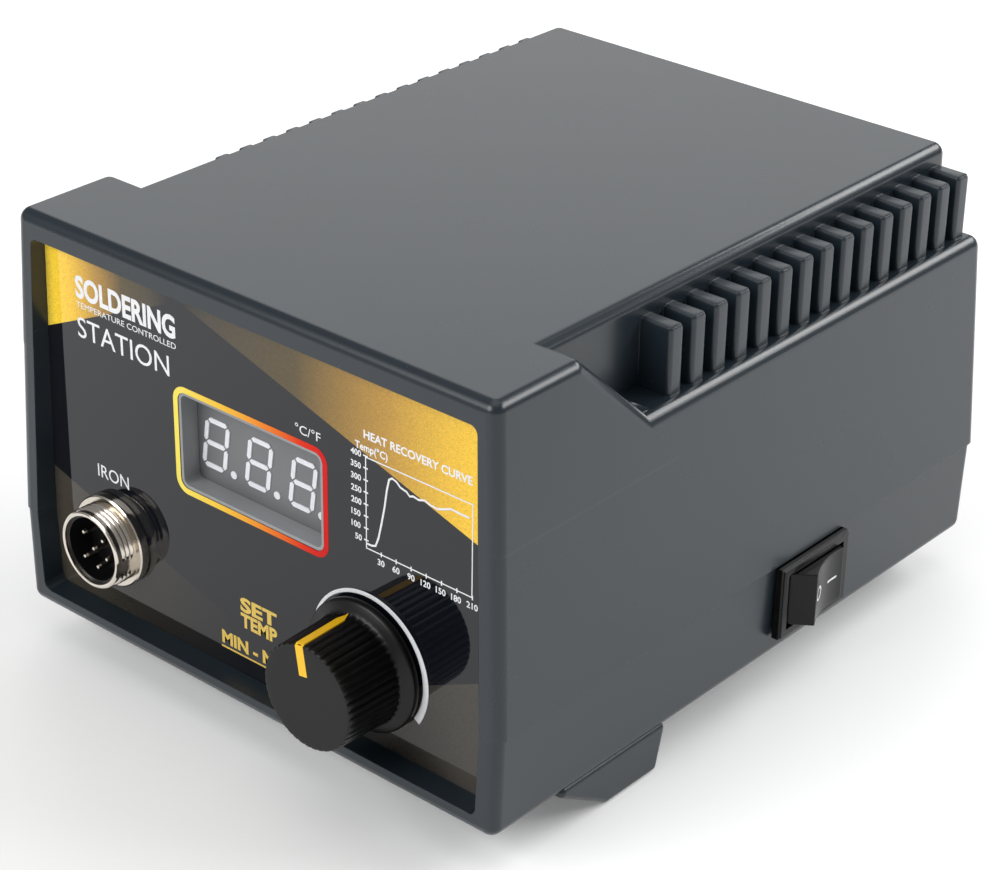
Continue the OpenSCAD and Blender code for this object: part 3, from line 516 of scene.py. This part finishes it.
def turned(profile, segments):
    """A closed turned shape about Z, from (radius, height) points in mm."""
    bm = bmesh.new()
    line = [bm.verts.new((r * MM, 0, h * MM)) for r, h in profile]
    for a, b in zip(line, line[1:]):
        bm.edges.new((a, b))
    bmesh.ops.spin(bm, geom=bm.verts[:] + bm.edges[:], cent=(0, 0, 0), axis=(0, 0, 1),
                   angle=2 * math.pi, steps=segments, use_merge=True)
    bmesh.ops.remove_doubles(bm, verts=bm.verts, dist=0.0001 * MM)
    return bm


def facing_front(x, y, z):
    """Turns a shape drawn along Z so that it points out of the front, and puts it in place."""
    return Matrix.Translation((x, y, z)) @ ALONG_Z_TO_FRONT


# ---- The case ----

softened("upper_case", "upper_case_shell", case_top, angle=CASE_ANGLE)
softened("lower_case", "lower_case_shell", case_base, angle=CASE_ANGLE)
softened("rear_feet", "rear_feet_rubber", foot_rubber, edge=0.5 * MM)


# ---- The iron socket ----

def socket_barrel():
    """The threaded barrel with its flange and keyway flat, open right through; sizes in mm."""
    outer, bore, crest, pitch = 7.9, 6.8, 0.42, 1.0
    flange, flange_front, thread_start, plain_length = 9.1, 2.0, 2.25, 2.9
    reach = (film_front_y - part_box("iron_socket_shell")[0].y) / MM
    back = (film_front_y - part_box("iron_socket_shell")[1].y) / MM
    profile = [(bore, back), (outer - 0.5, back), (outer - 0.2, back + 0.4), (outer - 0.2, 0.02),
               (flange - 0.1, 0.02), (flange, 0.15), (flange, flange_front - 0.25),
               (flange - 0.25, flange_front), (outer - crest, flange_front)]
    for i in range(int((reach - plain_length) / pitch)):
        start = thread_start + i * pitch
        profile += [(outer - crest, start), (outer - 0.06, start + 0.33), (outer, start + 0.45),
                    (outer - 0.06, start + 0.57), (outer - crest, start + 0.9)]
    profile += [(outer - crest, reach - 0.6), (outer - 0.25, reach - 0.3),
                (outer - 0.45, reach - 0.05), (outer - 0.62, reach), (bore + 0.25, reach),
                (bore + 0.05, reach - 0.12), (bore, reach - 0.4)]
    bm = turned(profile + [profile[0]], 160)
    flat_angle = math.radians(-12)
    flat_way = Vector((math.cos(flat_angle), math.sin(flat_angle), 0))
    for v in bm.verts:
        over = v.co.dot(flat_way) - (outer - 0.5) * MM
        if over > 0 and v.co.z > (flange_front + 0.2) * MM:
            v.co -= flat_way * over
    bm.transform(facing_front(socket.x, film_front_y, socket.z))
    mesh = outward_mesh(bm, "iron_socket_barrel")
    smooth(mesh, ROUND_ANGLE)
    return mesh


add_piece("iron_socket_barrel", socket_barrel(), nickel,
          stands_for=("iron_socket_shell",))
softened("iron_socket_pins", "iron_socket_contacts", nickel, angle=ROUND_ANGLE)


# ---- The knob ----

FLUTES = 42
FLUTE_SHARPNESS = 1.5  # higher leaves wider ribs between narrower grooves
KNOB_MIDDLE = 10 * MM  # height that parts the face's rim from the skirt's
KNOB_BORE_SHARE = 7.4 / 12.0  # the hollow's radius against the skirt's
KNOB_BORE_DEPTH = 4.4 * MM
KNOB_RINGS = (  # radius, height above the panel, depth of the flutes, all in mm
    (12.4, 0.8, 0), (12.6, 0.95, 0), (12.6, 1.9, 0), (12.5, 2.15, 0), (12.2, 2.35, 0), (11.2, 2.8, 0),
    (10.7, 3.05, 0), (10.48, 3.25, 0.08), (10.4, 3.6, 0.2), (10.38, 4.1, 0.22), (10.14, 13.6, 0.22),
    (10.1, 14.75, 0.22), (10.02, 15.02, 0.18), (9.85, 15.18, 0.1), (9.6, 15.2, 0), (8.4, 15.2, 0))


def knob_shell():
    """The knob's skirt and fluted body, hollow behind."""
    bm = bmesh.new()
    ring = bmesh.ops.create_circle(bm, cap_ends=False, radius=1, segments=FLUTES * 8)["verts"]
    edges = bm.edges[:]
    rings = [ring]
    for _ in KNOB_RINGS[1:]:
        made = bmesh.ops.extrude_edge_only(bm, edges=edges)["geom"]
        rings.append(new_verts(made))
        edges = edges_between(made, rings[-1])
    for verts, (radius, height, depth) in zip(rings, KNOB_RINGS):
        for v in verts:
            way = v.co.normalized()
            angle = math.atan2(way.y, way.x)
            groove = depth * max(0.0, math.cos(FLUTES * angle)) ** FLUTE_SHARPNESS
            v.co = Vector((way.x, way.y, 0)) * (radius - groove) * MM + Vector((0, 0, height * MM))
    boundary = [e for e in bm.edges if e.is_boundary]
    face_rim = [e for e in boundary if e.verts[0].co.z > KNOB_MIDDLE]
    back_rim = [e for e in boundary if e.verts[0].co.z < KNOB_MIDDLE]
    bmesh.ops.contextual_create(bm, geom=face_rim)
    hollow = bmesh.ops.extrude_edge_only(bm, edges=back_rim)["geom"]
    inner = new_verts(hollow)
    bmesh.ops.scale(bm, verts=inner, vec=(KNOB_BORE_SHARE, KNOB_BORE_SHARE, 1))
    well = bmesh.ops.extrude_edge_only(bm, edges=edges_between(hollow, inner))["geom"]
    deep = new_verts(well)
    bmesh.ops.translate(bm, verts=deep, vec=(0, 0, KNOB_BORE_DEPTH))
    bmesh.ops.contextual_create(bm, geom=edges_between(well, deep))
    bm.transform(facing_front(knob_axis.x, film_front_y, knob_axis.z))
    mesh = outward_mesh(bm, "knob_shell")
    smooth(mesh, ROUND_ANGLE)
    return mesh


add_piece("knob_shell", knob_shell(), knob_black, "knob", ("knob_body",))
softened("knob_pointer", "knob_pointer_insert", pointer_yellow, "knob", edge=0.08 * MM)


# ---- The display ----

softened("display_bezel", "display_surround", window_grey, edge=0.12 * MM)


def rounded_ring(width, height, radius, line, corner=10):
    """A flat rounded frame in the XY plane: its outer size, corner radius and line width, in mm."""
    bm = bmesh.new()
    square = bmesh.ops.create_grid(bm, x_segments=1, y_segments=1, size=0.5)["verts"]
    bmesh.ops.scale(bm, verts=square, vec=(width * MM, height * MM, 1))
    bmesh.ops.bevel(bm, geom=square, affect="VERTICES", offset=radius * MM, segments=corner,
                    profile=0.5, material=-1)
    plate = bm.faces[:]
    bmesh.ops.inset_region(bm, faces=plate, thickness=line * MM, use_boundary=True,
                           use_even_offset=True)
    bmesh.ops.delete(bm, geom=plate, context="FACES")
    return bm


def window_outline():
    """The printed outline round the display window."""
    bm = rounded_ring(width=37.8, height=21.5, radius=3.0, line=1.15)
    thicken(bm, INK)
    bm.transform(facing_front(window.x, film_front_y, window.z))
    return outward_mesh(bm, "window_outline")


add_piece("window_outline_print", window_outline(), outline_print)


# ---- Print on the film ----

def on_film(x, z):
    """A point on the film, x mm from the case's middle and z mm above the bench."""
    return Vector((case_mid_x + x * MM, film_front_y, z * MM))


CAP_HEIGHT = 0.69  # of the built-in letters, at size 1


def word_shape(words, height, bold=0.0, width=None):
    """A flat word with this cap height, and width if given, in mm, its lower left corner at 0."""
    data = bpy.data.curves.new("words", "FONT")
    data.body = words
    data.size = 1
    data.offset = bold
    data.extrude = 0.5
    data.resolution_u = 4
    bm = bmesh.new()
    join_mesh(bm, baked(data))
    up = height * MM / CAP_HEIGHT
    left = min(v.co.x for v in bm.verts)
    across = up
    if width:
        across = width * MM / (max(v.co.x for v in bm.verts) - left)
    for v in bm.verts:
        v.co = Vector(((v.co.x - left) * across, v.co.y * up, (v.co.z + 0.5) * INK))
    return bm


def print_words(bm, words, x, z, height, **style):
    """Adds a word to the print, its lower left corner at (x, z)."""
    word = word_shape(words, height, **style)
    word.transform(Matrix.Translation(on_film(x, z)) @ ALONG_Z_TO_FRONT)
    join_shape(bm, word)


def print_line(bm, points, widths, closed=False):
    """Adds a printed line through (x, z) points, as wide in mm as `widths` says."""
    data = bpy.data.curves.new("line", "CURVE")
    data.dimensions = "3D"
    data.bevel_depth = 0.5 * MM
    data.bevel_resolution = 2
    data.use_fill_caps = True
    spline = data.splines.new("POLY")
    spline.points.add(len(points) - 1)
    spline.use_cyclic_u = closed
    if isinstance(widths, float):
        widths = [widths] * len(points)
    for point, (x, z), width in zip(spline.points, points, widths):
        point.co = (*on_film(x, z), 1)
        point.radius = width
    mesh = baked(data)
    thickest = max(abs(v.co.y - film_front_y) for v in mesh.vertices)
    for v in mesh.vertices:
        v.co.y = film_front_y - INK * 0.5 + (v.co.y - film_front_y) * INK * 0.5 / thickest
    join_mesh(bm, mesh)


CHART_LEFT, CHART_RIGHT = 26.1, 49.8
CHART_LOW, CHART_HIGH = 51.0, 68.4
CHART_CURVE = (
    (26.1, 51.9), (27.3, 51.9), (28.2, 52.2), (28.9, 54), (29.6, 57), (30.3, 60.3), (30.9, 64),
    (31.4, 66.1), (32.1, 66.6), (33.1, 66.3), (33.9, 65.6), (35.3, 65.3), (36, 64.7), (36.8, 65),
    (38, 64.8), (39.3, 65.2), (40.6, 64.8), (42.2, 64.7), (43.6, 65.2), (45.1, 65.8), (47, 65.7),
    (49.1, 65.7))
TICK = 0.3
TEMPERATURE_TICKS = (52.5, 2.3, 8)  # first place, step, count
TIME_TICKS = (29.5, 3.4, 7)
DIGIT = 0.82  # how far one digit of a label takes it


def chart_print():
    """Temperature against time: axes, ticks, numbers and the curve."""
    bm = bmesh.new()
    print_line(bm, [(CHART_LEFT, CHART_LOW), (CHART_RIGHT, CHART_LOW),
                    (CHART_RIGHT, CHART_HIGH), (CHART_LEFT, CHART_HIGH)], 0.36, closed=True)
    first, step, count = TEMPERATURE_TICKS
    for i in range(count):
        z = first + step * i
        print_line(bm, [(CHART_LEFT - 0.55, z), (CHART_LEFT + 0.5, z)], TICK)
        label = str(50 * (i + 1))
        print_words(bm, label, CHART_LEFT - 0.95 - DIGIT * len(label), z - 0.55, 1.1, bold=0.02)
    first, step, count = TIME_TICKS
    for i in range(count):
        x = first + step * i
        print_line(bm, [(x, CHART_LOW - 0.45), (x, CHART_LOW + 0.45)], TICK)
        label = str(30 * (i + 1))
        print_words(bm, label, x - 0.42 * len(label), CHART_LOW - 2.2, 1.15, bold=0.02)
    print_line(bm, CHART_CURVE, 0.42)
    print_words(bm, "Temp(°C)", 23.7, 69.5, 1.35, bold=0.02, width=7.4)
    print_words(bm, "HEAT RECOVERY CURVE", 25.7, 71.9, 1.5, bold=0.025, width=24.0)
    return outward_mesh(bm, "chart_print")


def label_print():
    """The white words by the socket and the display."""
    bm = bmesh.new()
    print_words(bm, "IRON", -42.2, 39.4, 2.6, width=8.4)
    print_words(bm, "°C/°F", 9.7, 67.3, 1.7, width=6.0)
    print_words(bm, "SOLDERING", -45.3, 75.0, 4.1, bold=0.035, width=26.0)
    print_words(bm, "TEMPERATURE CONTROLLED", -45.3, 72.9, 1.15, width=26.0)
    print_words(bm, "STATION", -45.3, 67.0, 4.0, width=24.0)
    return outward_mesh(bm, "label_print")


def gold_print():
    """The gold words beside the knob, and the line under them."""
    bm = bmesh.new()
    print_words(bm, "SET", -5.3, 25.7, 2.7, bold=0.04, width=9.2)
    print_words(bm, "TEMP", -5.3, 22.4, 2.7, bold=0.04, width=9.2)
    print_words(bm, "MIN - MAX", -10.4, 16.9, 2.5, bold=0.04, width=19.0)
    print_line(bm, [(-10.6, 16.0), (9, 16.0)], 0.4)
    return outward_mesh(bm, "gold_print")


def knob_arc_print():
    """The white arc round the knob, thin at its start and thick at its end."""
    bm = bmesh.new()
    radius, start, end, count = 13.3, 213, -33, 72
    thin, thick = 0.25, 1.6
    centre_x = (knob_axis.x - case_mid_x) / MM
    centre_z = knob_axis.z / MM
    angles = [math.radians(start + (end - start) * i / count) for i in range(count + 1)]
    print_line(bm, [(centre_x + radius * math.cos(a), centre_z + radius * math.sin(a)) for a in angles],
               [thin + (thick - thin) * i / count for i in range(count + 1)])
    return outward_mesh(bm, "knob_arc_print")


add_piece("chart_print", chart_print(), white_ink)
add_piece("label_print", label_print(), white_ink)
add_piece("gold_print", gold_print(), gold_ink)
add_piece("knob_arc_print", knob_arc_print(), white_ink)


# ---- The switch ----

softened("switch_housing", "switch_bezel", switch_black, edge=0.22 * MM)
softened("switch_rocker", "switch_rocker_cap", switch_black, "rocker", edge=0.2 * MM)


def rocker_marks():
    """The line and the ring moulded in white on the rocker's hollow face."""
    centre = middle("switch_rocker")
    start_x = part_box("switch_rocker")[1].x + 1 * MM
    proud, sunk = 0.05 * MM, 0.02 * MM
    line_at, ring_at = 3.9 * MM, -1.9 * MM
    bm = bmesh.new()
    line = bmesh.ops.create_grid(bm, x_segments=12, y_segments=1, size=0.5)["verts"]
    bmesh.ops.scale(bm, verts=line, vec=(3.0 * MM, 0.42 * MM, 1))
    bmesh.ops.translate(bm, verts=line, vec=(line_at, 0, 0))
    ring = rounded_ring(width=2.7, height=3.0, radius=1.34, line=0.38, corner=12)
    ring.transform(Matrix.Translation((ring_at, 0, 0)))
    join_shape(bm, ring)
    thicken(bm, proud)
    rocker = bmesh.new()
    rocker.from_mesh(nodes["switch_rocker"].data)
    face = BVHTree.FromBMesh(rocker)
    for v in bm.verts:
        y, z = centre.y + v.co.x, centre.z + v.co.y
        hit = face.ray_cast(Vector((start_x, y, z)), Vector((-1, 0, 0)))[0]
        v.co = Vector((hit.x + v.co.z - sunk, y, z))
    rocker.free()
    return outward_mesh(bm, "rocker_marks")


add_piece("rocker_marks", rocker_marks(), white_ink, "rocker")


# ---- The mains inlet ----

softened("inlet_housing", "inlet_socket", insert_black, edge=0.3 * MM)
softened("inlet_screws", "inlet_screw_heads", zinc, edge=0.12 * MM)


# ---- Floor and light ----

def add_floor():
    """A plain pale floor under the feet."""
    floor = Finish("floor_white", (0.86, 0.86, 0.86), 0.6)
    floor.colour(floor.blend(floor.noise(200 * MM, 2), (0.9, 0.9, 0.9), (0.88, 0.88, 0.88)))
    floor.glow((1, 1, 1), 0.15)
    bm = bmesh.new()
    bmesh.ops.create_grid(bm, x_segments=1, y_segments=1, size=4)
    piece = place_in_scene("floor", to_mesh(bm, "floor"))
    piece.location.z = cad_box[0][2]
    dress(piece, floor.material)


LAMP_TARGET = Vector((0, 0, 0.04))


def add_lamp(name, place, size, power):
    """A rectangular area lamp that points at the middle of the station."""
    data = bpy.data.lights.new(name, "AREA")
    data.shape = "RECTANGLE"
    data.size, data.size_y = size
    data.energy = power
    lamp = place_in_scene(name, data)
    lamp.location = place
    lamp.rotation_euler = (LAMP_TARGET - Vector(place)).to_track_quat("-Z", "Y").to_euler()


def add_light():
    """Soft studio light from above, behind and in front."""
    world = bpy.data.worlds.new("studio")
    world.use_nodes = True
    background = world.node_tree.nodes["Background"]
    background.inputs["Color"].default_value = (1, 1, 1, 1)
    background.inputs["Strength"].default_value = 0.25
    bpy.context.scene.world = world
    add_lamp("ceiling", (0, 0, 1.6), (1.6, 1.6), 8)
    add_lamp("back_left", (-0.86, 1.0, 0.74), (1.1, 0.9), 3.6)
    add_lamp("edge_strip", (0.56, 0.8, 0.72), (1.2, 0.36), 11)
    add_lamp("front", (-0.4, -1.3, 0.9), (1.0, 0.8), 15)
    bpy.context.scene.view_settings.view_transform = "Standard"


add_floor()
add_light()
